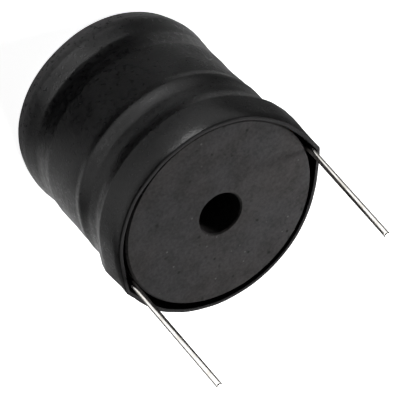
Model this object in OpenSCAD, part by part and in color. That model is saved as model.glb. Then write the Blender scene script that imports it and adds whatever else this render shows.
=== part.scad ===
// Drum core inductor, radial leaded: a ferrite drum wound with enamelled copper wire, in a heat-shrink sleeve.
// It stands on its back flange. The origin is the middle of that flange's face, and the leads point up +Z.
// The wire is one length: it starts at the post, fills the window layer by layer, and both its ends are leads.

/* [Ferrite core] */
// Height over both flanges
core_h = 27.8; // [24:0.1:34]
// Diameter of both flanges
flange_d = 27.4; // [24:0.1:34]
// Thickness of each flange
flange_t = 4.4; // [3.6:0.1:5.4]
// Diameter of the post that joins the flanges
post_d = 11.4; // [10:0.1:15.6]
// Diameter of the hole along the axis
bore_d = 6.1; // [4:0.1:7.4]
// Chamfer on the edges of the flange rims
rim_chamfer = 0.25; // [0.15:0.05:0.5]
// Chamfer at both mouths of the hole
bore_chamfer = 0.2; // [0.1:0.05:0.5]
// Fillet where the post meets the flanges
root_r = 0.5; // [0.3:0.1:1]

/* [Wire] */
// Diameter of a turn, over its enamel
turn_d = 0.9; // [0.7:0.05:1.1]
// Diameter of the stripped and tinned ends
lead_d = 0.8; // [0.6:0.05:0.9]
// Clearance of the turns on the post and under the rims
winding_gap = 0.05; // [0.05:0.05:0.2]
// Clearance of the leads on the flange
lead_gap = 0.15; // [0.1:0.05:0.3]
// Radius of the tight bends, to the middle of the wire
bend_r = 0.9; // [0.85:0.05:1.2]
// Radius of the easy bends, to the middle of the wire
sweep_r = 2; // [1.5:0.1:3]
// Height above the core at which the leads are straight
lead_free_z = 0.8; // [0.6:0.1:2]
// Bevel left by the cutter at the tips
tip_bevel = 0.1; // [0.05:0.05:0.2]

/* [Finish lead] */
// Direction in which the finish lead leaves, round the axis
finish_az = -10; // [-40:1:40]
// Free length of the finish lead
finish_length = 20.85; // [3:0.05:30]
// Lean of the finish lead away from the axis
finish_lean = 1.1; // [-6:0.1:6]
// Sideways lean of the finish lead
finish_splay = 0; // [-6:0.1:6]

/* [Start lead] */
// Direction in which the start lead leaves, round the axis
start_az = 167; // [140:1:220]
// Free length of the start lead
start_length = 17.95; // [3:0.05:30]
// Lean of the start lead away from the axis
start_lean = -4.3; // [-6:0.1:6]
// Sideways lean of the start lead
start_splay = -1; // [-6:0.1:6]

/* [Sleeve] */
// Wall of the shrunk tube
sleeve_t = 0.55; // [0.4:0.05:0.8]
// Clearance of the sleeve on the flanges
sleeve_gap = 0.3; // [0.1:0.05:0.4]
// Clearance of the sleeve on the turns
turn_gap = 0.05; // [0.05:0.05:0.3]
// How far the front edge stands past the flange
edge_proud = 0.25; // [0:0.05:0.6]
// How far both edges turn in
edge_tuck = 0.12; // [0:0.01:0.15]
// Length over which the edges turn in
edge_round = 0.9; // [0.5:0.1:1.5]
// Depth of the groove behind the back flange
back_sag = 0.4; // [0.1:0.05:0.7]
// Depth of the groove behind the front flange
front_sag = 0.45; // [0.1:0.05:0.7]
// Height of the ridge over the last turns
ridge_h = 0.25; // [0.1:0.05:0.5]
// Distance of the ridge's crest from the last turn
ridge_back = 0.8; // [0.5:0.1:2]
// Length of the step up to the ridge
ridge_step = 1.1; // [0.6:0.1:2]
// Stretch of the mouth towards the two leads
mouth_oval = 0.3; // [0:0.05:0.5]
// Slack of the sleeve over the leads
tent_slack = 0.2; // [0.1:0.05:0.4]

/* [Hidden] */
$fn = 64;

ferrite = [0.24, 0.24, 0.25];
enamel = [0.62, 0.30, 0.14];
tin = [0.82, 0.82, 0.80];
polyolefin = [0.12, 0.12, 0.13];

// Core
flange_r = flange_d / 2;
post_r = post_d / 2;
bore_r = bore_d / 2;
front_inner_z = core_h - flange_t;
fillet_steps = 6;

// Winding: turns lie in the hollows between the turns below, so each layer is one turn shorter. The number of
// layers is even, so that the wire ends at the flange where it starts.
turn_r = turn_d / 2;
lead_rad = lead_d / 2;
layer_pitch = turn_d * cos(30);
first_turn_r = post_r + winding_gap + turn_r;
layers = 2 * floor(((flange_r - turn_r - first_turn_r) / layer_pitch + 1) / 2);
first_turn_z = flange_t + root_r + winding_gap + turn_r;
start_run_z = front_inner_z - lead_gap - lead_rad;
turn_limit_z = start_run_z - max(bend_r, lead_rad + winding_gap + turn_r);
turns = floor((turn_limit_z - first_turn_z) / turn_d) + 1;
outer_turns = turns - layers + 1;
outer_turn_r = first_turn_r + (layers - 1) * layer_pitch;
outer_back_z = first_turn_z + (layers - 1) * turn_r;
outer_front_z = outer_back_z + (outer_turns - 1) * turn_d;
winding_r = outer_turn_r + turn_r;
scallop_step = 30;

// Leads: both run up the flange's rim, clear of it. The finish leaves the last turn leaning away from the turn
// below, straightens up beside the winding, then climbs out between two bends to be at the rim by the back of
// the flange. It climbs at least_climb, or more steeply where the room under the flange calls for it.
lead_r = flange_r + lead_gap + lead_rad;
lead_free = core_h + lead_free_z;
leave = 30;
upright_r = outer_turn_r + bend_r * (1 - cos(leave));
upright_z = outer_front_z + bend_r * sin(leave);
least_climb = 25;
climb_out = lead_r - upright_r;
climb_centres = [front_inner_z - upright_z, climb_out - 2 * bend_r];
climb_angle = atan2(climb_centres[1], climb_centres[0]) + asin(2 * bend_r / norm(climb_centres));
climb = max(least_climb, ceil(climb_angle));
climb_run = (climb_out - 2 * bend_r * (1 - cos(climb))) / sin(climb);
climb_z = front_inner_z - 2 * bend_r * sin(climb) - climb_run * cos(climb);
end_turn_z = first_turn_z + (turns - 1) * turn_d;

// Sleeve: inner radius at stations along the axis, each [height, radius, rings up to it]
sleeve_z = core_h + edge_proud;
snug_r = flange_r + sleeve_gap;
band_r = winding_r + turn_gap;
band_back_z = outer_back_z - turn_r - 0.1;
ridge_z = outer_front_z + turn_r - ridge_back;
back_sag_share = 0.4;
back_sag_z = flange_t + back_sag_share * (outer_back_z - turn_r - flange_t);
front_sag_share = 0.45;
front_sag_z = outer_front_z + turn_r + front_sag_share * (front_inner_z - outer_front_z - turn_r);
stations = [
    [0, snug_r - edge_tuck, 0],
    [edge_round, snug_r, 2],
    [0.75 * flange_t, snug_r, 1],
    [back_sag_z, snug_r - back_sag, 3],
    [band_back_z, band_r, 3],
    [ridge_z - ridge_step, band_r, 1],
    [ridge_z, band_r + ridge_h, 3],
    [front_sag_z, snug_r - front_sag, 4],
    [front_inner_z, snug_r, 4],
    [sleeve_z - edge_round, snug_r, 1],
    [sleeve_z, snug_r - edge_tuck, 2],
];
// Radius that the outside of each lead reaches, up the sleeve
lead_top_r = lead_r + lead_rad;
finish_reach = [
    [outer_front_z, band_r - tent_slack],
    [upright_z, upright_r + lead_rad],
    [climb_z, upright_r + lead_rad],
    [front_inner_z, lead_top_r],
];
start_reach = [
    [start_run_z - 3 * lead_rad, snug_r - front_sag - tent_slack],
    [start_run_z - lead_rad, lead_r],
    [start_run_z + bend_r, lead_top_r],
];
sides_half = 40;

// Ease in and out between 0 and 1
function ease(t) = t * t * (3 - 2 * t);

// Heights of the sleeve's rings: each station's stretch cut into its own number of steps
ring_z = concat([0], [
    for (i = [1 : len(stations) - 1])
        for (j = [1 : stations[i][2]])
            stations[i - 1][0] + (stations[i][0] - stations[i - 1][0]) * j / stations[i][2]
]);

// Inner radius of the sleeve away from the leads, at height z
function plain_r(z, i = 1) =
    z <= stations[i][0] || i == len(stations) - 1
        ? let (a = stations[i - 1], b = stations[i])
            a[1] + (b[1] - a[1]) * ease(min(1, (z - a[0]) / (b[0] - a[0])))
        : plain_r(z, i + 1);

// Angle between two directions, from 0 to 180
function apart(a, b) = acos(cos(a - b));

// The mouth is stretched to an oval whose long axis runs between the leads
function oval(az, z) =
    let (share = ease(max(0, min(1, (z - front_sag_z) / (front_inner_z - front_sag_z)))))
        share * mouth_oval * cos(az - (finish_az + start_az - 180) / 2) ^ 2;

// A taut wall over a lead is a flat that touches the round wall at an angle to both sides of the lead
function tent_r(base, peak, from_lead) =
    peak <= base ? base : base / cos(max(0, acos(base / peak) - from_lead));

function sleeve_r(az, z) =
    let (base = plain_r(z) + oval(az, z))
        max(
            tent_r(base, lookup(z, finish_reach) + tent_slack, apart(az, finish_az)),
            tent_r(base, lookup(z, start_reach) + tent_slack, apart(az, start_az))
        );

// Directions of the sleeve's sides, spaced so that one lies over each lead
side_az = concat(
    [for (i = [0 : sides_half - 1]) finish_az + (start_az - finish_az) * i / sides_half],
    [for (i = [0 : sides_half - 1]) start_az + (finish_az + 360 - start_az) * i / sides_half]
);

// Quarter-round of the fillet at the foot of a flange, from the flange to the post
function fillet(flange_z, up) = [
    for (i = [0 : fillet_steps])
        let (a = 90 * i / fillet_steps)
            [post_r + root_r * (1 - sin(a)), flange_z + up * root_r * (1 - cos(a))]
];

module drum_core() {
    section = concat(
        [
            [bore_r + bore_chamfer, 0],
            [flange_r - rim_chamfer, 0],
            [flange_r, rim_chamfer],
            [flange_r, flange_t - rim_chamfer],
            [flange_r - rim_chamfer, flange_t],
        ],
        fillet(flange_t, 1),
        [for (i = [fillet_steps : -1 : 0]) fillet(front_inner_z, -1)[i]],
        [
            [flange_r - rim_chamfer, front_inner_z],
            [flange_r, front_inner_z + rim_chamfer],
            [flange_r, core_h - rim_chamfer],
            [flange_r - rim_chamfer, core_h],
            [bore_r + bore_chamfer, core_h],
            [bore_r, core_h - bore_chamfer],
            [bore_r, bore_chamfer],
        ]
    );
    color(ferrite) rotate_extrude() polygon(section);
}

// A turn's round outline from one direction down to another, without its last point
function scallop(layer, turn, from, to) =
    let (steps = ceil((from - to) / scallop_step))
        [
            for (i = [0 : steps - 1])
                let (a = from + (to - from) * i / steps)
                    [
                        first_turn_r + layer * layer_pitch + turn_r * cos(a),
                        first_turn_z + layer * turn_r + turn * turn_d + turn_r * sin(a),
                    ]
        ];

// The packed turns, filled: each turn that shows is round between the points where it touches the next ones
module turns_block() {
    top = layers - 1;
    front = concat(
        scallop(0, turns - 1, 180, -30),
        [for (k = [1 : top - 1]) each scallop(k, turns - 1 - k, 150, -30)],
        scallop(top, outer_turns - 1, 150, -90)
    );
    outside = [for (j = [outer_turns - 2 : -1 : 1]) each scallop(top, j, 90, -90)];
    back = concat(
        scallop(top, 0, 90, -150),
        [for (k = [top - 1 : -1 : 1]) each scallop(k, 0, 30, -150)],
        scallop(0, 0, 30, -180),
        [[first_turn_r - turn_r, first_turn_z]]
    );
    rotate_extrude() polygon(concat(front, outside, back));
}

// Round wire laid from the origin, heading up: [length] is straight, and [angle, radius, side] is a bend
// towards the side given as a direction round the wire. What is given as children ends the wire.
module lay(steps, i = 0) {
    if (i == len(steps)) {
        children();
    } else if (len(steps[i]) == 1) {
        length = steps[i][0];
        cylinder(d = lead_d, h = length);
        translate([0, 0, length]) lay(steps, i + 1) children();
    } else {
        angle = steps[i][0];
        radius = steps[i][1];
        side = steps[i][2];
        rotate([0, 0, side]) {
            translate([radius, 0, 0])
                rotate([90, 0, 180])
                    rotate_extrude(angle = angle)
                        translate([radius, 0]) circle(d = lead_d);
            translate([radius * (1 - cos(angle)), 0, radius * sin(angle)])
                rotate([0, angle, 0])
                    rotate([0, 0, -side]) lay(steps, i + 1) children();
        }
    }
}

// A lead: the wire laid by steps, then its lean and its straight free length, cut with a small bevel
module lead(steps, lean, splay, length) {
    tilt = norm([lean, splay]);
    lay(concat(steps, [[tilt, sweep_r, atan2(splay, lean)], [length - tip_bevel]]))
        cylinder(d1 = lead_d, d2 = lead_d - 2 * tip_bevel, h = tip_bevel);
}

// The finish leaves the last turn, climbs out to the rim of the flange and runs up it
module finish_end() {
    rotate([0, 0, finish_az])
        translate([outer_turn_r, 0, outer_front_z])
            rotate([0, leave, 0])
                lead(
                    [
                        [leave, bend_r, 180],
                        [climb_z - upright_z],
                        [climb, bend_r, 0],
                        [climb_run],
                        [climb, bend_r, 180],
                        [lead_free - front_inner_z],
                    ],
                    finish_lean, finish_splay, finish_length
                );
}

// The start rises from the first layer, crosses the window under the flange, then turns up the rim
module start_end() {
    rotate([0, 0, start_az])
        translate([first_turn_r, 0, end_turn_z])
            lead(
                [
                    [start_run_z - bend_r - end_turn_z],
                    [90, bend_r, 0],
                    [lead_r - first_turn_r - 2 * bend_r],
                    [90, bend_r, 180],
                    [lead_free - start_run_z - bend_r],
                ],
                start_lean, start_splay, start_length
            );
}

module winding() {
    color(enamel) turns_block();
    color(tin) finish_end();
    color(tin) start_end();
}

// Corner number of the sleeve: walls are 0 outside and 1 inside
function corner(wall, ring, side) =
    (wall * len(ring_z) + ring) * len(side_az) + side % len(side_az);

function quad(a, b, c, d) = [[a, b, c], [a, c, d]];

module sleeve() {
    rings = len(ring_z);
    last_side = len(side_az) - 1;
    points = [
        for (wall = [sleeve_t, 0], z = ring_z, az = side_az)
            let (r = sleeve_r(az, z) + wall)
                [r * cos(az), r * sin(az), z]
    ];
    walls = [
        for (i = [0 : rings - 2], j = [0 : last_side])
            each concat(
                quad(corner(0, i, j), corner(0, i + 1, j), corner(0, i + 1, j + 1), corner(0, i, j + 1)),
                quad(corner(1, i, j), corner(1, i, j + 1), corner(1, i + 1, j + 1), corner(1, i + 1, j))
            )
    ];
    edges = [
        for (j = [0 : last_side])
            each concat(
                quad(corner(0, 0, j), corner(0, 0, j + 1), corner(1, 0, j + 1), corner(1, 0, j)),
                quad(
                    corner(0, rings - 1, j), corner(1, rings - 1, j),
                    corner(1, rings - 1, j + 1), corner(0, rings - 1, j + 1)
                )
            )
    ];
    color(polyolefin) polyhedron(points, concat(walls, edges));
}

drum_core();
winding();
sleeve();
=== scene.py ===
"""Looks of a drum core inductor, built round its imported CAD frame.

The part is a ferrite drum wound with one length of enamelled copper wire, whose tinned ends are the leads, in a black
heat-shrink sleeve. Lengths are metres in the frame of the CAD part: the drum stands on z = 0 and the leads point up.
"""
import logging
import math
from dataclasses import dataclass, field
from enum import Enum
from typing import ClassVar

import bpy
import numpy as np
from mathutils import Matrix, Vector


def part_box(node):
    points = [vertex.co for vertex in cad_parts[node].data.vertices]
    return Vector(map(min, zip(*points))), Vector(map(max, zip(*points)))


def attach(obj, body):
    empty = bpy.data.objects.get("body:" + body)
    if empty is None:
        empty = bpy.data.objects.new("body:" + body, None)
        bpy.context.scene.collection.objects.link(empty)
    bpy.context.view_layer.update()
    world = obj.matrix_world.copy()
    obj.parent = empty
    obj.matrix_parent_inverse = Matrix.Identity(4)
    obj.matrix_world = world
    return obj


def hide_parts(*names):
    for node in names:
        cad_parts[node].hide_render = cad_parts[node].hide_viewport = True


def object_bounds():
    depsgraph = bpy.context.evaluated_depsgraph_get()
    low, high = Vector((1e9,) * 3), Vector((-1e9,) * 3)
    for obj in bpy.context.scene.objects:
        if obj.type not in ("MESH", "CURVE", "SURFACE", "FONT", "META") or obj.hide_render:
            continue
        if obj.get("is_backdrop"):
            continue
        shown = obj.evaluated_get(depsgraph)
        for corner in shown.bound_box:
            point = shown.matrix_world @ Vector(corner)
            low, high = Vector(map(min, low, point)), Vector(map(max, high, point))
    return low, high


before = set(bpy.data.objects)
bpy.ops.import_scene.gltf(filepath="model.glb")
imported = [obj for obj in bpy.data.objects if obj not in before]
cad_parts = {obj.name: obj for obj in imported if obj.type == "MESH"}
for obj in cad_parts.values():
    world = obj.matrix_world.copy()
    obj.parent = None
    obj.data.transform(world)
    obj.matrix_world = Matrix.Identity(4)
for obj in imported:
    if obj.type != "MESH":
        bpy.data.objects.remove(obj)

MM = 1e-3
WHITE = "#ffffff"
ROOT = "root"
log = logging.getLogger("inductor")


class Slot(Enum):
    """Names of the record's material slots for the new pieces; this script gives no piece a slot."""

    WIRE = "copper_wire"
    SLEEVE = "sleeve"


# ---------------------------------------------------------------- small tools


def linear(code: str) -> tuple[float, float, float, float]:
    """Turns an sRGB colour into the linear one that a shader takes.

    Args:
        code: colour as "#rrggbb".

    Returns:
        Red, green, blue and alpha, where each channel c is c / 12.92 up to 0.04045 and ((c + 0.055) / 1.055) ^ 2.4
        above it.
    """
    channels = np.array([int(code[i:i + 2], 16) for i in (1, 3, 5)]) / 255
    curved = ((channels + 0.055) / 1.055) ** 2.4
    return (*np.where(channels <= 0.04045, channels / 12.92, curved).tolist(), 1.0)


def per_mm(size: float) -> float:
    """Scale of a noise texture whose features are this many millimetres apart, on coordinates in metres."""
    return 1 / (size * MM)


def ease(t: np.ndarray) -> np.ndarray:
    """Rises smoothly from 0 to 1 as t does, and stays there outside: 3 t^2 - 2 t^3."""
    t = np.clip(t, 0, 1)
    return t * t * (3 - 2 * t)


def hermite(x: np.ndarray, stations: np.ndarray) -> np.ndarray:
    """Reads a profile given by stations, with a chosen slope on each side of every station.

    Between two stations a distance L apart, at the share t of the way, the value is
    (1 - e) a + e b + L t (1 - t) ((1 - t) p - t q), where e = 3 t^2 - 2 t^3, a and b are the stations' values,
    p is the slope that leaves the first and q the slope that arrives at the second.

    Args:
        x: places to read, of any shape.
        stations: rows of place, value, slope arriving and slope leaving.

    Returns:
        The profile's values, in the shape of x.
    """
    place, value, arriving, leaving = stations.T
    i = np.clip(np.searchsorted(place, x, side="right") - 1, 0, len(place) - 2)
    length = place[i + 1] - place[i]
    t = np.clip((x - place[i]) / length, 0, 1)
    e = ease(t)
    bend = length * t * (1 - t) * ((1 - t) * leaving[i] - t * arriving[i + 1])
    return (1 - e) * value[i] + e * value[i + 1] + bend


def wrinkles(points: np.ndarray, size: float, count: int, seed: int) -> np.ndarray:
    """Smooth random relief of about unit height: a sum of sine waves in random directions and phases.

    Args:
        points: the points, with x, y and z last.
        size: length of the shortest wave.
        count: number of waves.
        seed: seed of the random draws.

    Returns:
        A height for each point.
    """
    draw = np.random.default_rng(seed)
    heading = draw.normal(size=(3, count))
    wave = 2 * np.pi / (size * draw.uniform(1, 2.5, count)) * heading / np.linalg.norm(heading, axis=0)
    return np.sin(points @ wave + draw.uniform(0, 2 * np.pi, count)).sum(-1) * math.sqrt(2 / count)


def add_node(
    tree: bpy.types.NodeTree, kind: str, settings: dict | None = None, links: dict | None = None
) -> bpy.types.Node:
    """Adds a node with its settings and links.

    Args:
        tree: node tree that the node goes into.
        kind: type of the node.
        settings: values by the name of a property of the node, or by the name or number of an input.
        links: output sockets by the name or number of the input that each one feeds.

    Returns:
        The node.
    """
    node = tree.nodes.new(kind)
    for name, value in (settings or {}).items():
        if isinstance(name, str) and hasattr(node, name):
            setattr(node, name, value)
        else:
            node.inputs[name].default_value = value
    for name, source in (links or {}).items():
        tree.links.new(source, node.inputs[name])
    return node


def new_material(name: str) -> tuple[bpy.types.Material, bpy.types.NodeTree]:
    """Makes a material with an empty node tree.

    Args:
        name: name of the material.

    Returns:
        The material and its node tree.
    """
    material = bpy.data.materials.new(name)
    material.use_nodes = True
    material.node_tree.nodes.clear()
    return material, material.node_tree


def tube_faces(rings: int, sides: int, closed: bool = False) -> np.ndarray:
    """Quads of a grid of rings that each close on themselves, facing away from what the rings go round.

    Args:
        rings: number of rings.
        sides: number of corners in a ring.
        closed: whether the last ring is joined to the first.

    Returns:
        Corner numbers, four to a row.
    """
    i, j = np.meshgrid(np.arange(rings if closed else rings - 1), np.arange(sides), indexing="ij")
    after, above = (j + 1) % sides, (i + 1) % rings
    corners = [i * sides + j, i * sides + after, above * sides + after, above * sides + j]
    return np.stack(corners, -1).reshape(-1, 4)


def tube(
    path: np.ndarray, side: np.ndarray, radius: float, sides: int, bevel: float, start: int
) -> tuple[np.ndarray, list[list[int]]]:
    """Carries a circle along a path, and closes both ends.

    A corner at the angle a is the path's point plus the radius times (cos a times the first direction plus sin a
    times the second), both square to the path and to each other.

    Args:
        path: points along the middle.
        side: a direction that the path never takes; the circle's first corner is towards it.
        radius: radius of the tube.
        sides: number of corners in the circle.
        bevel: how much smaller the last ring is than the tube.
        start: number that its first corner has in the mesh.

    Returns:
        The points and the faces.
    """
    ahead = np.gradient(path, axis=0)
    ahead /= np.linalg.norm(ahead, axis=1, keepdims=True)
    first = side - (ahead @ side)[:, None] * ahead
    first /= np.linalg.norm(first, axis=1, keepdims=True)
    second = np.cross(ahead, first)
    a = np.linspace(0, 2 * np.pi, sides, endpoint=False)
    size = np.full(len(path), radius)
    size[-1] -= bevel
    points = (
        path[:, None]
        + size[:, None, None] * (first[:, None] * np.cos(a)[:, None] + second[:, None] * np.sin(a)[:, None])
    )
    first_ring = np.arange(start, start + sides)
    caps = [first_ring[::-1].tolist(), (first_ring + (len(path) - 1) * sides).tolist()]
    return points.reshape(-1, 3), (start + tube_faces(len(path), sides)).tolist() + caps


def mesh_piece(
    name: str,
    points: np.ndarray,
    faces: list[list[int]],
    material: bpy.types.Material,
    attributes: dict[str, np.ndarray] | None = None,
) -> bpy.types.Object:
    """Makes a mesh object, with its place in its mesh and its quads shaded smooth.

    Args:
        name: name of the piece.
        points: corners, one row each.
        faces: corner numbers of each face.
        material: what the piece is made of.
        attributes: values at the corners, by name.

    Returns:
        The object, linked into the scene.
    """
    mesh = bpy.data.meshes.new(name)
    mesh.from_pydata(points.tolist(), [], faces)
    mesh.materials.append(material)
    mesh.polygons.foreach_set("use_smooth", [len(face) == 4 for face in faces])
    for label, values in (attributes or {}).items():
        mesh.attributes.new(label, "FLOAT", "POINT").data.foreach_set("value", np.asarray(values, np.float32))
    mesh.update()
    piece = bpy.data.objects.new(name, mesh)
    bpy.context.scene.collection.objects.link(piece)
    return piece


# ---------------------------------------------------------------- finishes


@dataclass(frozen=True)
class SinteredFerrite:
    """Manganese-zinc ferrite, pressed, sintered and ground.

    It is a dark ceramic with no shine: a sandy grain, faint warm and cool clouds where it took up more or less oxygen
    in the kiln, a few small pores that look black, and pale specks where a grain broke out.
    """

    dark: str = "#252424"
    light: str = "#393838"
    warm: str = "#fffbfa"
    cool: str = "#f9fafd"
    pore: str = "#171616"
    chip: str = "#504f4f"
    cloud_mm: float = 2.6
    # The real grain is about 0.02 mm: it is drawn coarse enough to show
    grain_mm: float = 0.45
    grain_share: float = 0.6
    hue_mm: float = 5.2
    contrast: tuple[float, float] = (0.38, 0.62)
    pore_mm: float = 2.3
    pore_reach: tuple[float, float] = (0.11, 0.19)
    pore_raggedness: float = 0.1
    chip_mm: float = 1.84
    chip_reach: tuple[float, float] = (0.05, 0.1)
    relief_mm: float = 0.04
    relief: float = 0.6
    roughness: float = 0.75
    specular: float = 0.1
    ior: float = 1.5

    def material(self) -> bpy.types.Material:
        """Makes the material: grain mixes the two greys, clouds tint them, and cells' middles are pores and specks.

        Returns:
            The material.
        """
        material, tree = new_material("sintered_ferrite")
        place = add_node(tree, "ShaderNodeTexCoord").outputs["Object"]
        clouds = add_node(
            tree, "ShaderNodeTexNoise", {"Scale": per_mm(self.cloud_mm), "Detail": 3.0, "Roughness": 0.6},
            {"Vector": place},
        )
        grain = add_node(
            tree, "ShaderNodeTexNoise", {"Scale": per_mm(self.grain_mm), "Detail": 4.0, "Roughness": 0.75},
            {"Vector": place},
        )
        blend = add_node(
            tree, "ShaderNodeMix", {"data_type": "FLOAT", 0: self.grain_share},
            {2: clouds.outputs["Fac"], 3: grain.outputs["Fac"]},
        )
        low, high = self.contrast
        share = add_node(tree, "ShaderNodeMapRange", {"From Min": low, "From Max": high}, {"Value": blend.outputs[0]})
        greys = add_node(
            tree, "ShaderNodeMix", {"data_type": "RGBA", 6: linear(self.dark), 7: linear(self.light)},
            {0: share.outputs["Result"]},
        )
        hue = add_node(
            tree, "ShaderNodeTexNoise", {"Scale": per_mm(self.hue_mm), "Detail": 1.0}, {"Vector": place}
        )
        side = add_node(
            tree, "ShaderNodeMapRange", {"From Min": low, "From Max": high}, {"Value": hue.outputs["Fac"]}
        )
        tint = add_node(
            tree, "ShaderNodeMix", {"data_type": "RGBA", 6: linear(self.warm), 7: linear(self.cool)},
            {0: side.outputs["Result"]},
        )
        tinted = add_node(
            tree, "ShaderNodeMix", {"data_type": "RGBA", "blend_type": "MULTIPLY", 0: 1.0},
            {6: greys.outputs[2], 7: tint.outputs[2]},
        )
        cells = add_node(tree, "ShaderNodeTexVoronoi", {"Scale": per_mm(self.pore_mm)}, {"Vector": place})
        rough_cells = add_node(
            tree, "ShaderNodeMath", {"operation": "MULTIPLY_ADD", 1: self.pore_raggedness},
            {0: grain.outputs["Fac"], 2: cells.outputs["Distance"]},
        )
        inner, outer = self.pore_reach
        pores = add_node(
            tree, "ShaderNodeMapRange", {"From Min": inner, "From Max": outer, "To Min": 1.0, "To Max": 0.0},
            {"Value": rough_cells.outputs[0]},
        )
        pored = add_node(
            tree, "ShaderNodeMix", {"data_type": "RGBA", 7: linear(self.pore)},
            {0: pores.outputs["Result"], 6: tinted.outputs[2]},
        )
        others = add_node(tree, "ShaderNodeTexVoronoi", {"Scale": per_mm(self.chip_mm)}, {"Vector": place})
        inner, outer = self.chip_reach
        chips = add_node(
            tree, "ShaderNodeMapRange", {"From Min": inner, "From Max": outer, "To Min": 1.0, "To Max": 0.0},
            {"Value": others.outputs["Distance"]},
        )
        colour = add_node(
            tree, "ShaderNodeMix", {"data_type": "RGBA", 7: linear(self.chip)},
            {0: chips.outputs["Result"], 6: pored.outputs[2]},
        )
        bump = add_node(
            tree, "ShaderNodeBump", {"Strength": self.relief, "Distance": self.relief_mm * MM},
            {"Height": grain.outputs["Fac"]},
        )
        surface = add_node(
            tree, "ShaderNodeBsdfPrincipled",
            {"Roughness": self.roughness, "IOR": self.ior, "Specular IOR Level": self.specular},
            {"Base Color": colour.outputs[2], "Normal": bump.outputs["Normal"]},
        )
        add_node(tree, "ShaderNodeOutputMaterial", {}, {"Surface": surface.outputs["BSDF"]})
        return material


@dataclass(frozen=True)
class ShrunkPolyolefin:
    """Black cross-linked polyolefin tube, extruded, cut and then shrunk with hot air.

    Its skin is satin: soft highlights, broken up by a fine orange peel and by faint lines along the tube from the
    die, and a little dust. Near the back end a mottled lighter grey is painted on, a painted highlight. The cut edge is
    matt and a shade lighter; the piece's own attribute "cut" says where it is.
    """

    black: str = "#030304"
    dusty: str = "#101010"
    edge: str = "#1b1a1b"
    # A lighter grey painted on near the back end: a painted highlight
    painted_end_highlight: str = "#6e6d6e"
    # Height over which the painted highlight at the back end dies away, from where it is full to where there is none
    painted_end_highlight_over: tuple[float, float] = (0.68 * MM, 3.4 * MM)
    cloud_mm: float = 0.6
    dust_share: tuple[float, float] = (0.42, 0.7)
    # The real peel and die lines are about 0.1 mm apart: both are drawn coarse enough to show
    peel_mm: float = 0.25
    line_mm: float = 0.3
    line_squeeze: float = 0.04
    line_share: float = 0.5
    relief_mm: float = 0.045
    relief: float = 0.6
    smooth: float = 0.25
    rough: float = 0.40
    sheen_share: tuple[float, float] = (0.35, 0.65)
    cut_rough: float = 0.8
    specular: float = 0.25
    ior: float = 1.5
    attribute: str = "cut"

    def material(self) -> bpy.types.Material:
        """Makes the material: clouds set the dust and the sheen, and the peel and the die's lines are its bump.

        Returns:
            The material.
        """
        material, tree = new_material("shrunk_polyolefin")
        place = add_node(tree, "ShaderNodeTexCoord").outputs["Object"]
        cut = add_node(tree, "ShaderNodeAttribute", {"attribute_name": self.attribute}).outputs["Fac"]
        stretched = add_node(tree, "ShaderNodeMapping", {"Scale": (1.0, 1.0, self.line_squeeze)}, {"Vector": place})
        peel = add_node(
            tree, "ShaderNodeTexNoise", {"Scale": per_mm(self.peel_mm), "Detail": 3.0}, {"Vector": place}
        )
        lines = add_node(
            tree, "ShaderNodeTexNoise", {"Scale": per_mm(self.line_mm), "Detail": 2.0},
            {"Vector": stretched.outputs["Vector"]},
        )
        clouds = add_node(
            tree, "ShaderNodeTexNoise", {"Scale": per_mm(self.cloud_mm), "Detail": 4.0, "Roughness": 0.65},
            {"Vector": place},
        )
        low, high = self.dust_share
        dust = add_node(
            tree, "ShaderNodeMapRange", {"From Min": low, "From Max": high}, {"Value": clouds.outputs["Fac"]}
        )
        skin = add_node(
            tree, "ShaderNodeMix", {"data_type": "RGBA", 6: linear(self.black), 7: linear(self.dusty)},
            {0: dust.outputs["Result"]},
        )
        # The painted highlight: a lighter grey, full at the back end and mottled by the clouds
        height = add_node(tree, "ShaderNodeSeparateXYZ", {}, {0: place}).outputs["Z"]
        full, none = self.painted_end_highlight_over
        end = add_node(
            tree, "ShaderNodeMapRange", {"interpolation_type": "SMOOTHSTEP", "From Min": none, "From Max": full},
            {"Value": height},
        )
        painted_end_share = add_node(
            tree, "ShaderNodeMath", {"operation": "MULTIPLY"}, {0: end.outputs["Result"], 1: clouds.outputs["Fac"]}
        )
        painted_end_highlight = add_node(
            tree, "ShaderNodeMix", {"data_type": "RGBA", 7: linear(self.painted_end_highlight)},
            {0: painted_end_share.outputs[0], 6: skin.outputs[2]},
        )
        colour = add_node(
            tree, "ShaderNodeMix", {"data_type": "RGBA", 7: linear(self.edge)}, {0: cut, 6: painted_end_highlight.outputs[2]}
        )
        low, high = self.sheen_share
        sheen = add_node(
            tree, "ShaderNodeMapRange",
            {"From Min": low, "From Max": high, "To Min": self.smooth, "To Max": self.rough},
            {"Value": clouds.outputs["Fac"]},
        )
        gloss = add_node(
            tree, "ShaderNodeMix", {"data_type": "FLOAT", 3: self.cut_rough}, {0: cut, 2: sheen.outputs["Result"]}
        )
        skin_relief = add_node(
            tree, "ShaderNodeMath", {"operation": "MULTIPLY_ADD", 1: self.line_share},
            {0: lines.outputs["Fac"], 2: peel.outputs["Fac"]},
        )
        bump = add_node(
            tree, "ShaderNodeBump", {"Strength": self.relief, "Distance": self.relief_mm * MM},
            {"Height": skin_relief.outputs[0]},
        )
        surface = add_node(
            tree, "ShaderNodeBsdfPrincipled", {"IOR": self.ior, "Specular IOR Level": self.specular},
            {"Base Color": colour.outputs[2], "Roughness": gloss.outputs[0], "Normal": bump.outputs["Normal"]},
        )
        add_node(tree, "ShaderNodeOutputMaterial", {}, {"Surface": surface.outputs["BSDF"]})
        return material


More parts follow.
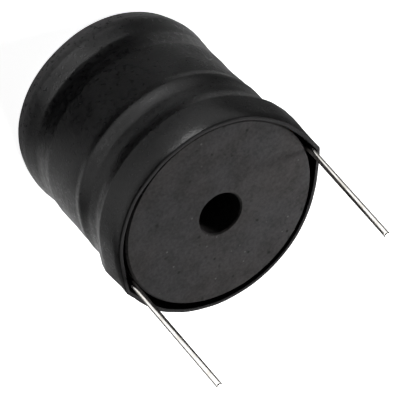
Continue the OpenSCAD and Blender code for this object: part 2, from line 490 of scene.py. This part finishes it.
@dataclass(frozen=True)
class EnamelledWire:
    """Copper wire, drawn and enamelled, with its ends stripped and dipped in tin.

    The turns have the deep amber red of copper under varnish. The ends are bright tin, with the faint lines of the
    drawing die and a dull bloom in places. The piece's own attribute "tinned" says which is which.
    """

    enamel: str = "#a4512c"
    tin: str = "#f4f2ee"
    bloom: str = "#d8d4cc"
    # What the metal mirrors near its outline is tinted by this: it draws the dark edges of a bright wire
    outline: str = "#7c7973"
    # The real die lines are about 0.02 mm apart: they are drawn coarse enough to show
    line_mm: float = 0.12
    line_squeeze: float = 0.03
    bloom_mm: float = 1.4
    bloom_share: tuple[float, float] = (0.45, 0.7)
    relief_mm: float = 0.01
    relief: float = 0.3
    enamel_rough: float = 0.3
    tin_rough: float = 0.17
    bloom_rough: float = 0.27
    attribute: str = "tinned"

    def material(self) -> bpy.types.Material:
        """Makes the material: the attribute mixes enamel into tin, and noise dulls the tin and lines it.

        Returns:
            The material.
        """
        material, tree = new_material("tinned_copper_wire")
        place = add_node(tree, "ShaderNodeTexCoord").outputs["Object"]
        tinned = add_node(tree, "ShaderNodeAttribute", {"attribute_name": self.attribute}).outputs["Fac"]
        stretched = add_node(tree, "ShaderNodeMapping", {"Scale": (1.0, 1.0, self.line_squeeze)}, {"Vector": place})
        lines = add_node(
            tree, "ShaderNodeTexNoise", {"Scale": per_mm(self.line_mm), "Detail": 2.0},
            {"Vector": stretched.outputs["Vector"]},
        )
        patches = add_node(
            tree, "ShaderNodeTexNoise", {"Scale": per_mm(self.bloom_mm), "Detail": 3.0}, {"Vector": place}
        )
        low, high = self.bloom_share
        dull = add_node(
            tree, "ShaderNodeMapRange", {"From Min": low, "From Max": high}, {"Value": patches.outputs["Fac"]}
        )
        tin = add_node(
            tree, "ShaderNodeMix", {"data_type": "RGBA", 6: linear(self.tin), 7: linear(self.bloom)},
            {0: dull.outputs["Result"]},
        )
        colour = add_node(
            tree, "ShaderNodeMix", {"data_type": "RGBA", 6: linear(self.enamel)}, {0: tinned, 7: tin.outputs[2]}
        )
        tin_gloss = add_node(
            tree, "ShaderNodeMapRange", {"To Min": self.tin_rough, "To Max": self.bloom_rough},
            {"Value": dull.outputs["Result"]},
        )
        gloss = add_node(
            tree, "ShaderNodeMix", {"data_type": "FLOAT", 2: self.enamel_rough},
            {0: tinned, 3: tin_gloss.outputs["Result"]},
        )
        bump = add_node(
            tree, "ShaderNodeBump", {"Strength": self.relief, "Distance": self.relief_mm * MM},
            {"Height": lines.outputs["Fac"]},
        )
        surface = add_node(
            tree, "ShaderNodeBsdfPrincipled", {"Metallic": 1.0, "Specular Tint": linear(self.outline)},
            {"Base Color": colour.outputs[2], "Roughness": gloss.outputs[0], "Normal": bump.outputs["Normal"]},
        )
        add_node(tree, "ShaderNodeOutputMaterial", {}, {"Surface": surface.outputs["BSDF"]})
        return material


@dataclass(frozen=True)
class StudioFloor:
    """White paper, which glows where it is seen, so that only a faint shadow stays on it.

    The camera meets the glow everywhere. What is mirrored or seen through meets it too, away from the part; close to
    the part it meets the paper as it is, with the part's shadow. Behind the part and beside it, from a little way out,
    what is mirrored meets the paper painted grey, a painted dark reflection, and that is what draws the dark edges of a
    bright wire. Right at the part's foot, in front, what is mirrored meets a darker painted shadow. Each pair of
    distances is where that part of the floor begins and is full.
    """

    paper: str = "#f2f2f2"
    # Grey that only what is mirrored meets, behind and beside the part: a painted dark reflection
    painted_dim_reflection: str = "#828282"
    # Grey that only what is mirrored meets, at the part's foot in front: a painted shadow
    painted_foot_shadow: str = "#4c4c4c"
    glow: float = 0.9
    roughness: float = 0.9
    glow_from: tuple[float, float] = (30 * MM, 50 * MM)
    painted_dim_reflection_from: tuple[float, float] = (31 * MM, 38 * MM)
    painted_dim_reflection_left: tuple[float, float] = (-10 * MM, -26 * MM)
    painted_dim_reflection_behind: tuple[float, float] = (-30 * MM, -10 * MM)
    painted_foot_shadow_from: tuple[float, float] = (22 * MM, 17 * MM)
    painted_foot_shadow_before: tuple[float, float] = (-9 * MM, -13 * MM)

    def material(self) -> bpy.types.Material:
        """Makes the material: the paper's own white, and the glow by kind of ray and by place round the part.

        Returns:
            The material.
        """
        material, tree = new_material("white_paper")
        place = add_node(tree, "ShaderNodeTexCoord").outputs["Object"]
        along = add_node(tree, "ShaderNodeSeparateXYZ", {}, {0: place}).outputs
        distance = add_node(tree, "ShaderNodeVectorMath", {"operation": "LENGTH"}, {0: place})
        far, out, painted_foot_shadow, before, left, behind = (
            add_node(tree, "ShaderNodeMapRange", {"From Min": start, "From Max": end}, {"Value": value})
            for (start, end), value in (
                (self.glow_from, distance.outputs["Value"]), (self.painted_dim_reflection_from, distance.outputs["Value"]),
                (self.painted_foot_shadow_from, distance.outputs["Value"]), (self.painted_foot_shadow_before, along["Y"]),
                (self.painted_dim_reflection_left, along["X"]), (self.painted_dim_reflection_behind, along["Y"]),
            )
        )
        # Share of the painted dark reflection, behind and beside the part
        beside = add_node(
            tree, "ShaderNodeMath", {"operation": "MAXIMUM"}, {0: out.outputs["Result"], 1: left.outputs["Result"]}
        )
        painted_dim_share = add_node(
            tree, "ShaderNodeMath", {"operation": "MULTIPLY"}, {0: beside.outputs[0], 1: behind.outputs["Result"]}
        )
        ray = add_node(tree, "ShaderNodeLightPath").outputs
        indirect = add_node(
            tree, "ShaderNodeMath", {"operation": "MAXIMUM"}, {0: ray["Is Glossy Ray"], 1: ray["Is Transmission Ray"]}
        )
        lit = add_node(tree, "ShaderNodeMath", {"operation": "SUBTRACT", 0: 1.0}, {1: painted_dim_share.outputs[0]})
        far_lit = add_node(
            tree, "ShaderNodeMath", {"operation": "MULTIPLY"}, {0: far.outputs["Result"], 1: lit.outputs[0]}
        )
        # Share of the painted shadow at the part's foot, in front
        dark = add_node(
            tree, "ShaderNodeMath", {"operation": "MULTIPLY"}, {0: before.outputs["Result"], 1: painted_foot_shadow.outputs["Result"]}
        )
        indirect_far, mirrored_dim_reflection, mirrored_foot_shadow = (
            add_node(tree, "ShaderNodeMath", {"operation": "MULTIPLY"}, {0: indirect.outputs[0], 1: part.outputs[0]})
            for part in (far_lit, painted_dim_share, dark)
        )
        away = add_node(
            tree, "ShaderNodeMix", {"data_type": "RGBA", 6: linear(self.paper), 7: linear(self.painted_dim_reflection)},
            {0: mirrored_dim_reflection.outputs[0]},
        )
        colour = add_node(
            tree, "ShaderNodeMix", {"data_type": "RGBA", 7: linear(self.painted_foot_shadow)},
            {0: mirrored_foot_shadow.outputs[0], 6: away.outputs[2]},
        )
        seen = add_node(
            tree, "ShaderNodeMath", {"operation": "MAXIMUM"}, {0: ray["Is Camera Ray"], 1: indirect_far.outputs[0]}
        )
        glow = add_node(tree, "ShaderNodeMath", {"operation": "MULTIPLY", 1: self.glow}, {0: seen.outputs[0]})
        surface = add_node(
            tree, "ShaderNodeBsdfPrincipled",
            {"Roughness": self.roughness, "Specular IOR Level": 0.0, "Emission Color": linear(WHITE)},
            {"Base Color": colour.outputs[2], "Emission Strength": glow.outputs[0]},
        )
        add_node(tree, "ShaderNodeOutputMaterial", {}, {"Surface": surface.outputs["BSDF"]})
        return material


# ---------------------------------------------------------------- the part


@dataclass
class Drum:
    """The ferrite drum: two flanges on a post, with a hole right through. Its CAD node has the right form."""

    node: str = "drum_core"
    finish: SinteredFerrite = field(default_factory=SinteredFerrite)

    @property
    def radius(self) -> float:
        """Radius of the flanges."""
        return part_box(self.node)[1][0]

    def dress(self) -> bpy.types.Object:
        """Gives the CAD node its finish.

        Returns:
            The CAD node.
        """
        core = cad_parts[self.node]
        core.data.materials.clear()
        core.data.materials.append(self.finish.material())
        return core


@dataclass(frozen=True)
class Lead:
    """One end of the wire, laid in a plane through the axis.

    It starts at a radius and a height, in the plane of its azimuth. Each step is a length of wire and the lean that
    it ends with, in degrees from upright, outwards. Along a step the lean changes evenly, so a step that changes it
    is a bend and one that keeps it is straight. The splay is its lean out of the plane, on the last step.
    """

    azimuth: float
    start: tuple[float, float]
    start_lean: float
    steps: tuple[tuple[float, float], ...]
    splay: float = 0.0

    @staticmethod
    def bend(radius: float, angle: float) -> float:
        """Length of wire in a bend of that radius and angle."""
        return radius * math.radians(abs(angle))

    def path(self, spacing: float) -> np.ndarray:
        """Points along the middle of the wire.

        The wire's direction leans by the lean outwards and, on the last step, by the splay sideways; the points are
        the running sum of the direction times the spacing, by the trapezium rule.

        Args:
            spacing: distance between the points.

        Returns:
            The points, one row each.
        """
        ends = np.cumsum([0.0, *(length for length, _ in self.steps)])
        leans = np.radians([self.start_lean, *(lean for _, lean in self.steps)])
        along = np.linspace(0, ends[-1], int(ends[-1] / spacing))
        lean = np.interp(along, ends, leans)
        splay = math.radians(self.splay) * np.interp(along, ends[-3:], [0, 1, 1])
        heading = np.stack([np.sin(lean), np.sin(splay) * np.cos(lean), np.cos(lean)], -1)
        strides = (heading[1:] + heading[:-1]) / 2 * np.diff(along)[:, None]
        laid = np.concatenate([np.zeros((1, 3)), np.cumsum(strides, 0)]) + [self.start[0], 0, self.start[1]]
        turn = math.radians(self.azimuth)
        return laid @ np.array([
            [math.cos(turn), math.sin(turn), 0], [-math.sin(turn), math.cos(turn), 0], [0, 0, 1]
        ])

    @property
    def sideways(self) -> np.ndarray:
        """Direction square to the plane that the lead is laid in."""
        turn = math.radians(self.azimuth)
        return np.array([-math.sin(turn), math.cos(turn), 0.0])


@dataclass
class Wire:
    """The wire, turn by turn: layers that lie in each other's hollows, and the two ends that are the leads.

    The first layer is wound on the post from the front flange to the back and every next one back again. Each turn is
    a ring that steps over to the next one in a short stretch, as on a machine-wound coil.
    """

    node: str = "winding"
    finish: EnamelledWire = field(default_factory=EnamelledWire)
    turn: float = 0.9 * MM
    lead: float = 0.8 * MM
    # Radius and height of the middle of the first turn, nearest to the back flange
    first: tuple[float, float] = (6.2 * MM, 5.4 * MM)
    layers: int = 10
    turns: int = 19
    # Share of a turn in which the wire steps over to the next one, and the direction in degrees in which it is over
    crossing: float = 0.14
    crossing_at: float = 200
    # Radii of the tight bends and of the easy one where a lead comes free
    tight: float = 0.9 * MM
    easy: float = 2.0 * MM
    # Radius at which both leads go up the rim, height of the front flange's underside, and height where they come free
    rim: float = 14.25 * MM
    under_flange: float = 23.4 * MM
    free_from: float = 28.6 * MM
    # The finish: direction, free length and lean, then the leans with which it leaves the last turn and climbs
    finish_azimuth: float = -10
    finish_length: float = 20.85 * MM
    finish_lean: float = 1.1
    finish_leaves: float = 30
    finish_climb: float = 25
    # The start: direction, free length, lean and splay, the angle of the bend to both, and its play under the flange
    start_azimuth: float = 167
    start_length: float = 17.95 * MM
    start_lean: float = -4.3
    start_splay: float = -1
    start_bend: float = 4.41
    start_play: float = 0.15 * MM
    bevel: float = 0.1 * MM
    # Height above the front flange's underside over which enamel goes over to tin
    tinned_over: float = 2.5 * MM
    lead_step: float = 0.2 * MM
    lead_sides: int = 28
    turn_sides: int = 9
    points_a_turn: int = 36

    @property
    def layer_pitch(self) -> float:
        """How much further out each layer is than the one that it lies in."""
        return self.turn * math.cos(math.radians(30))

    def finish_lead(self) -> Lead:
        """Lays the finish: out of the last turn, up beside the winding, out to the rim and up it.

        Returns:
            The lead. A bend of radius r by the angle a takes it r (1 - cos a) outwards and r sin a upwards, and the
            slanted run between the two bends of the climb covers what is left of the way out.
        """
        radius = self.first[0] + (self.layers - 1) * self.layer_pitch
        height = self.first[1] + (self.layers - 1) * self.turn / 2 + (self.turns - self.layers) * self.turn
        leaves, climb = math.radians(self.finish_leaves), math.radians(self.finish_climb)
        out = self.rim - radius - self.tight * (1 - math.cos(leaves)) - 2 * self.tight * (1 - math.cos(climb))
        run = out / math.sin(climb)
        rise = 2 * self.tight * math.sin(climb) + run * math.cos(climb)
        upright = self.under_flange - rise - height - self.tight * math.sin(leaves)
        return Lead(self.finish_azimuth, (radius, height), self.finish_leaves, (
            (Lead.bend(self.tight, self.finish_leaves), 0),
            (upright, 0),
            (Lead.bend(self.tight, self.finish_climb), self.finish_climb),
            (run, self.finish_climb),
            (Lead.bend(self.tight, self.finish_climb), 0),
            (self.free_from - self.under_flange, 0),
            (Lead.bend(self.easy, self.finish_lean), self.finish_lean),
            (self.finish_length, self.finish_lean),
        ))

    def start_lead(self) -> Lead:
        """Lays the start: up from the first layer, outwards under the flange and up the rim.

        Returns:
            The lead.
        """
        height = self.first[1] + (self.turns - 1) * self.turn
        across = self.under_flange - self.start_play - self.lead / 2
        return Lead(self.start_azimuth, (self.first[0], height), 0, (
            (across - self.tight - height, 0),
            (Lead.bend(self.tight, 90), 90),
            (self.rim - self.first[0] - 2 * self.tight, 90),
            (Lead.bend(self.tight, 90), 0),
            (self.free_from - across - self.tight, 0),
            (Lead.bend(self.easy, self.start_bend), self.start_lean),
            (self.start_length, self.start_lean),
        ), splay=self.start_splay)

    def coil(self) -> np.ndarray:
        """Points along the middle of all the turns.

        Turn m of the whole coil is a ring of its own radius and height up to the last part of its way round, where it
        eases over to the ring of turn m + 1.

        Returns:
            The points, one row each.
        """
        rings = []
        for layer in range(self.layers):
            place = np.arange(self.turns - layer)
            up = self.first[1] + layer * self.turn / 2 + place * self.turn
            out = np.full(len(up), self.first[0] + layer * self.layer_pitch)
            rings.append(np.stack([out, up if layer % 2 else up[::-1]], -1))
        ring = np.concatenate(rings)
        # It stops just short of the end, so that no point is past the last turn
        way = np.linspace(0, len(ring) - 1e-6, len(ring) * self.points_a_turn)
        here = way.astype(int)
        after = np.minimum(here + 1, len(ring) - 1)
        over = ease((way - here - 1 + self.crossing) / self.crossing)[:, None]
        radius, height = ((1 - over) * ring[here] + over * ring[after]).T
        around = 2 * np.pi * way + math.radians(self.crossing_at)
        return np.stack([radius * np.cos(around), radius * np.sin(around), height], -1)

    def build(self) -> bpy.types.Object:
        """Builds the coil and both leads as tubes in one mesh, with the tinned share of each point as an attribute.

        Returns:
            The wire, which stands for its CAD node.
        """
        points, faces, tinned = [], [], []
        for lead in (self.finish_lead(), self.start_lead()):
            middle = lead.path(self.lead_step)
            rings, ring_faces = tube(
                middle, lead.sideways, self.lead / 2, self.lead_sides, self.bevel, sum(map(len, points))
            )
            points.append(rings)
            faces += ring_faces
            tinned.append(np.repeat(ease((middle[:, 2] - self.under_flange) / self.tinned_over), self.lead_sides))
        upwards = np.array([0, 0, 1.0])
        coil, coil_faces = tube(self.coil(), upwards, self.turn / 2, self.turn_sides, 0, sum(map(len, points)))
        points.append(coil)
        faces += coil_faces
        tinned.append(np.zeros(len(coil)))
        wire = mesh_piece(
            "wound_wire", np.concatenate(points), faces, self.finish.material(),
            {self.finish.attribute: np.concatenate(tinned)},
        )
        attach(wire, ROOT)
        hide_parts(self.node)
        return wire


@dataclass(frozen=True)
class Relief:
    """A random relief: its height, the length of its shortest wave, its number of waves and the seed of its draws."""

    height: float
    size: float
    count: int
    seed: int

    def at(self, points: np.ndarray) -> np.ndarray:
        """Height of the relief at each point."""
        return self.height * wrinkles(points, self.size, self.count, self.seed)


@dataclass(frozen=True)
class Tent:
    """Where the sleeve is lifted over a lead: the direction in degrees, and the peak's inner radius by height in mm."""

    azimuth: float
    heights: tuple[float, ...]
    peaks: tuple[float, ...]

    def lift(self, base: np.ndarray, az: np.ndarray, z: np.ndarray) -> np.ndarray:
        """Lifts a round wall over the lead.

        The wall is a flat that touches the round one: at the angle off from the lead the radius is
        base / cos(a - off), where cos(a) = base / peak, and base once off is past a.

        Args:
            base: radius of the round wall.
            az: direction round the axis, in radians.
            z: height.

        Returns:
            Radius of the wall.
        """
        off = np.abs((az - math.radians(self.azimuth) + np.pi) % (2 * np.pi) - np.pi)
        peak = np.interp(z, np.array(self.heights) * MM, np.array(self.peaks) * MM)
        a = np.arccos(np.clip(base / np.maximum(peak, base), -1, 1))
        return base / np.cos(np.maximum(a - off, 0))


@dataclass
class ShrinkSleeve:
    """The heat-shrink sleeve, drawn tight over both flanges, the winding and the two leads.

    Its wall follows what it lies on. From the back it is round on the flange, sags into the gap between the flange
    and the winding, lies on the turns with a ridge over the last ones, sags again and rises on to the front flange.
    It lies closer on some sides than on others, and over each lead it is a taut flat on either side of the wire.
    """

    drum: Drum
    wire: Wire
    node: str = "sleeve"
    finish: ShrunkPolyolefin = field(default_factory=ShrunkPolyolefin)
    wall: float = 0.55 * MM
    # Height up to which the inside keeps clear of the back flange, and by how much
    corner: float = 5.0 * MM
    play: float = 0.03 * MM
    # Heights where the front groove ends and where the mouth begins to come in, how far under the flange the rise
    # between them ends, and how far down the turned-in edge goes
    front_sag: float = 20.9 * MM
    mouth_from: float = 24.2 * MM
    rise_ends: float = 0.1 * MM
    round_over: float = 1.2 * MM
    # The lead sides have this share of the slopes in the table of the body
    lead_slopes: float = 0.4
    # The wall sways up and down, more slowly along the tube than round it and not at its back end, and is crumpled
    sway: Relief = Relief(0.16 * MM, 16 * MM, 6, 3)
    sway_along: float = 0.2
    sway_from: float = 4 * MM
    crumples: tuple[Relief, ...] = (Relief(0.02 * MM, 3.2 * MM, 24, 5), Relief(0.035 * MM, 9 * MM, 10, 8))
    tents: tuple[Tent, ...] = (
        Tent(-7.5, (18.1, 20.1, 21.5, 22.8, 24.5, 26.5, 28.1), (13.8, 14.35, 14.92, 15.16, 15.08, 14.94, 15.05)),
        Tent(164.5, (20.6, 22.2, 23.2, 24.5, 28.1), (13.6, 14.4, 14.84, 15.06, 15.06)),
    )
    lip: float = 0.1 * MM
    sides: int = 360
    outer_rings: int = 200
    inner_rings: int = 40

    # Over the cut edge, from outside to inside: share of the lip's height below the top, share of the wall from its
    # outside, and share of the edge's own finish
    lip_below: ClassVar[np.ndarray] = np.array([1.0, 0.3, 0.0, 0.0, 0.3, 1.0])
    lip_inset: ClassVar[np.ndarray] = np.array([0.0, 0.05, 0.16, 0.86, 0.95, 1.0])
    lip_cut: ClassVar[np.ndarray] = np.array([0.0, 0.6, 1.0, 1.0, 0.6, 0.0])
    # Inner radius up to the front groove, in mm: height, radius on the near and far side, on the side of the finish
    # lead and on the side of the start lead, then the slope arriving and the slope leaving
    body: ClassVar[np.ndarray] = np.array([
        [0.0, 13.84, 13.80, 13.82, 0.0, 0.26],
        [1.3, 14.12, 14.10, 14.12, 0.10, 0.08],
        [2.0, 14.20, 14.18, 14.24, -0.10, -0.16],
        [2.6, 14.06, 14.16, 14.28, -0.37, -0.39],
        [4.7, 13.26, 13.94, 14.08, -0.37, -0.28],
        [5.6, 13.20, 13.92, 13.96, -0.02, 0.04],
        [7.2, 13.50, 13.98, 13.86, 0.04, 0.08],
        [8.8, 13.82, 14.12, 13.86, 0.16, -0.02],
        [12.0, 13.80, 14.02, 13.72, 0.0, 0.0],
        [16.1, 13.80, 14.08, 13.76, 0.0, 0.12],
        [17.3, 14.08, 14.22, 13.86, 0.16, -0.08],
        [18.2, 13.86, 14.10, 13.82, -0.34, -0.34],
        [19.5, 13.52, 14.00, 13.76, -0.08, 0.0],
        [20.9, 13.48, 14.00, 13.76, 0.0, 0.0],
        [28.1, 13.48, 14.00, 13.76, 0.0, 0.0],
    ])
    # By direction in degrees, in mm: how far the sleeve stands off the flange, how much further in its mouth is, and
    # how much its very edge turns in
    stand_off: ClassVar[np.ndarray] = np.array([
        [-30, 0.84, 0.10, 0.24], [-6, 1.14, 0.14, 0.24], [18, 1.20, 0.16, 0.24], [31, 0.98, 0.16, 0.24],
        [50, 0.74, 0.16, 0.24], [68, 0.56, 0.14, 0.24], [95, 0.48, 0.12, 0.24], [135, 0.50, 0.14, 0.24],
        [150, 0.72, 0.24, 0.24], [165, 0.80, 0.20, 0.24], [178, 0.88, 0.38, 0.24], [190, 0.70, 0.36, 0.24],
        [207, 0.34, 0.10, 0.24], [222, 0.38, 0.16, 0.20], [235, 0.50, 0.34, 0.14], [248, 0.54, 0.38, 0.08],
        [260, 0.58, 0.34, 0.10], [276, 0.60, 0.14, 0.24], [300, 0.74, 0.12, 0.24], [330, 0.84, 0.10, 0.24],
    ])

    @property
    def top(self) -> float:
        """Height of the front edge."""
        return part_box(self.node)[1][2]

    def lying(self, az: np.ndarray, z: np.ndarray) -> np.ndarray:
        """Inner radius up to the front groove.

        It is the near and far side's profile times sin^2 of the direction, plus a lead side's times cos^2 of it.

        Args:
            az: direction round the axis, in radians.
            z: height.

        Returns:
            The radius.
        """
        height, near, finish, start, arriving, leaving = self.body.T
        sides = [
            hermite(z, np.stack([height * MM, radius * MM, steep * arriving, steep * leaving], -1))
            for radius, steep in ((near, 1.0), (finish, self.lead_slopes), (start, self.lead_slopes))
        ]
        lead_side = np.where(np.cos(az) > 0, sides[1], sides[2])
        return sides[0] * np.sin(az) ** 2 + lead_side * np.cos(az) ** 2

    def round_the_mouth(self, az: np.ndarray) -> tuple[np.ndarray, ...]:
        """Reads the table of the mouth, eased between its directions.

        Args:
            az: direction round the axis, in radians.

        Returns:
            How far the sleeve stands off the flange, how much further in its mouth is, and how much its edge turns in.
        """
        degrees, *columns = self.stand_off.T
        places = np.degrees(az - math.radians(degrees[0])) % 360 + degrees[0]
        degrees = np.append(degrees, degrees[0] + 360)
        i = np.clip(np.searchsorted(degrees, places, side="right") - 1, 0, len(degrees) - 2)
        share = ease((places - degrees[i]) / (degrees[i + 1] - degrees[i]))
        closed = [np.append(column, column[0]) * MM for column in columns]
        return tuple((1 - share) * column[i] + share * column[i + 1] for column in closed)

    def radius(self, az: np.ndarray, z: np.ndarray) -> np.ndarray:
        """Inner radius of the sleeve.

        Args:
            az: direction round the axis, in radians.
            z: height.

        Returns:
            The radius: from the front groove on it goes over from the body's to the mouth's by 2 t^2 - t^3, a share
            that arrives with a crease. The mouth comes in by the square of the way up the flange, and the very
            edge turns in. The wall is lifted to a tent over each lead.
        """
        place = np.stack([self.drum.radius * np.cos(az), self.drum.radius * np.sin(az), z], -1)
        swayed = z + self.sway.at(place * [1, 1, self.sway_along]) * ease(z / self.sway_from)
        rise_over = self.wire.under_flange - self.rise_ends - self.front_sag
        rise = np.clip((swayed - self.front_sag) / rise_over, 0, 1)
        rise = rise * rise * (2 - rise)
        off, inwards, tuck = self.round_the_mouth(az)
        base = (1 - rise) * self.lying(az, swayed) + rise * (self.drum.radius + off)
        to_mouth = np.clip((z - self.mouth_from) / (self.top - self.mouth_from), 0, 1)
        base = base - inwards * to_mouth ** 2 - tuck * np.clip(1 - (self.top - z) / self.round_over, 0, 1) ** 2
        for crumple in self.crumples:
            base = base + crumple.at(place)
        for tent in self.tents:
            base = tent.lift(base, az, z)
        return base

    def build(self) -> bpy.types.Object:
        """Builds the tube: the outer wall from the back to the front, a soft lip, and the inner wall back again.

        Up to the back flange's corner the inside is never nearer to the axis than the flange's rim and a little play.

        Returns:
            The sleeve, which stands for its CAD node.
        """
        az = np.linspace(0, 2 * np.pi, self.sides, endpoint=False)
        up = np.linspace(0, self.top - self.lip, self.outer_rings)[:-1]
        down = np.linspace(self.top - self.lip, 0, self.inner_rings)[1:]
        z = np.concatenate([up, self.top - self.lip * self.lip_below, down])
        wall = np.concatenate([np.full(len(up), self.wall), self.wall - self.wall * self.lip_inset, 0 * down])
        cut = np.concatenate([0 * up, self.lip_cut, 0 * down])
        around, height = np.meshgrid(az, z)
        clear = np.where(height < self.corner, self.drum.radius + self.play, 0)
        r = np.maximum(self.radius(around, height) + wall[:, None], clear)
        points = np.stack([r * np.cos(around), r * np.sin(around), height], -1).reshape(-1, 3)
        sleeve = mesh_piece(
            "heat_shrink_sleeve", points, tube_faces(len(z), self.sides, closed=True).tolist(),
            self.finish.material(), {self.finish.attribute: np.repeat(cut, self.sides)},
        )
        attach(sleeve, ROOT)
        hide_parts(self.node)
        return sleeve


# ---------------------------------------------------------------- the studio


@dataclass(frozen=True)
class Softbox:
    """A rectangular lamp, as bright as a surface of its radiance.

    The radiance is the brightness of its face seen straight on, where 1 is that of white paper in plain light. The
    size is its width and height, and the spread is the full angle of its beam, in degrees.
    """

    name: str
    place: tuple[float, float, float]
    aim: tuple[float, float, float]
    size: tuple[float, float]
    radiance: float
    spread: float = 180

    def build(self) -> bpy.types.Object:
        """Makes the lamp, hidden from the camera.

        Returns:
            The lamp. Its power is pi times its area times the radiance, times 1 - h / tan(h) where h is half the
            spread, because the beam fades towards its edges.
        """
        light = bpy.data.lights.new(self.name, "AREA")
        light.shape = "RECTANGLE"
        light.size, light.size_y = self.size
        light.spread = math.radians(self.spread)
        half = light.spread / 2
        light.energy = math.pi * self.size[0] * self.size[1] * self.radiance * (1 - half / math.tan(half))
        lamp = bpy.data.objects.new(self.name, light)
        lamp.location = self.place
        lamp.rotation_euler = (Vector(self.aim) - Vector(self.place)).to_track_quat("-Z", "Y").to_euler()
        lamp.visible_camera = False
        bpy.context.scene.collection.objects.link(lamp)
        return lamp


@dataclass
class Studio:
    """White floor, soft light and the camera.

    The back lamp is the main light. The side lamp shades the sleeve on the side of the start lead, the rim lamp draws
    the highlight on the near edge of its mouth, and the low strips in front draw those on its ridges.
    """

    # The camera: the point it looks at, its direction and distance from there, and its turn about its line of sight
    aim: tuple[float, float, float] = (0.6 * MM, 0.0, 23.6 * MM)
    azimuth: float = math.radians(270)
    elevation: float = math.radians(42.65)
    roll: float = math.radians(135.18)
    distance: float = 257.5 * MM
    lens_mm: float = 181.3
    clip: tuple[float, float] = (1 * MM, 10.0)
    floor_size: float = 3.0
    world: float = 0.03
    finish: StudioFloor = field(default_factory=StudioFloor)
    softboxes: tuple[Softbox, ...] = (
        Softbox("back", (0.02, 0.235, 0.235), (0, 0, 0.02), (0.16, 0.16), 14.5),
        Softbox("side", (-0.06, 0.04, 0.075), (-0.016, 0.008, 0.028), (0.02, 0.02), 62, 34),
        Softbox("rim", (-0.026, -0.0545, 0.024), (-0.0035, -0.0137, 0.0272), (0.020, 0.014), 20, 46),
    )
    # The strips stand round the axis, at one distance and height, and face it: direction in degrees, and radiance
    strips: tuple[tuple[float, float], ...] = ((229.0, 7.5), (264.5, 9.0), (297.0, 6.5))
    strip_distance: float = 50 * MM
    strip_height: float = 6 * MM
    strip_size: tuple[float, float] = (32.5 * MM, 13 * MM)
    strip_spread: float = 44

    def camera(self) -> bpy.types.Object:
        """Makes the camera: it looks at the aim from a direction, turned about its own line of sight by the roll.

        Returns:
            The camera.
        """
        back = Vector((
            math.cos(self.elevation) * math.cos(self.azimuth),
            math.cos(self.elevation) * math.sin(self.azimuth),
            math.sin(self.elevation),
        ))
        level = Vector((-math.sin(self.azimuth), math.cos(self.azimuth), 0.0))
        up = back.cross(level)
        right = level * math.cos(self.roll) + up * math.sin(self.roll)
        turned = Matrix((right, back.cross(right), back)).transposed().to_4x4()
        lens = bpy.data.cameras.new("camera")
        lens.lens = self.lens_mm
        lens.clip_start, lens.clip_end = self.clip
        camera = bpy.data.objects.new("camera", lens)
        camera.matrix_world = Matrix.Translation(Vector(self.aim) + back * self.distance) @ turned
        bpy.context.scene.collection.objects.link(camera)
        bpy.context.scene.camera = camera
        return camera

    def floor(self) -> bpy.types.Object:
        """Makes the floor, just under the part.

        Returns:
            The floor.
        """
        half = self.floor_size / 2
        corners = np.array([[-half, -half, 0], [half, -half, 0], [half, half, 0], [-half, half, 0]])
        corners[:, 2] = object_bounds()[0][2]
        floor = mesh_piece("floor", corners, [[0, 1, 2, 3]], self.finish.material())
        floor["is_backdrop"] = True
        return floor

    def strip(self, azimuth: float, radiance: float) -> Softbox:
        """Places one of the strips.

        Args:
            azimuth: its direction from the axis, in degrees.
            radiance: brightness of its face.

        Returns:
            The strip's lamp.
        """
        turn = math.radians(azimuth)
        place = (self.strip_distance * math.cos(turn), self.strip_distance * math.sin(turn), self.strip_height)
        aim = (0, 0, self.strip_height)
        return Softbox(f"strip_{azimuth:.0f}", place, aim, self.strip_size, radiance, self.strip_spread)

    def build(self) -> None:
        """Makes the camera, the floor, the lamps and the world."""
        scene = bpy.context.scene
        scene.view_settings.view_transform = "Standard"
        world = bpy.data.worlds.new("studio")
        world.use_nodes = True
        background = world.node_tree.nodes["Background"]
        background.inputs["Color"].default_value = linear(WHITE)
        background.inputs["Strength"].default_value = self.world
        scene.world = world
        self.camera()
        self.floor()
        for lamp in (*self.softboxes, *(self.strip(*strip) for strip in self.strips)):
            lamp.build()


def main() -> None:
    """Builds the part and its studio, and reports each piece."""
    logging.basicConfig(level=logging.INFO, format="%(name)s: %(message)s")
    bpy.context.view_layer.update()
    drum = Drum()
    wire = Wire()
    sleeve = ShrinkSleeve(drum, wire)
    for piece in (drum.dress(), wire.build(), sleeve.build()):
        log.info("%s: %d faces", piece.name, len(piece.data.polygons))
    Studio().build()


if __name__ == "__main__":
    main()
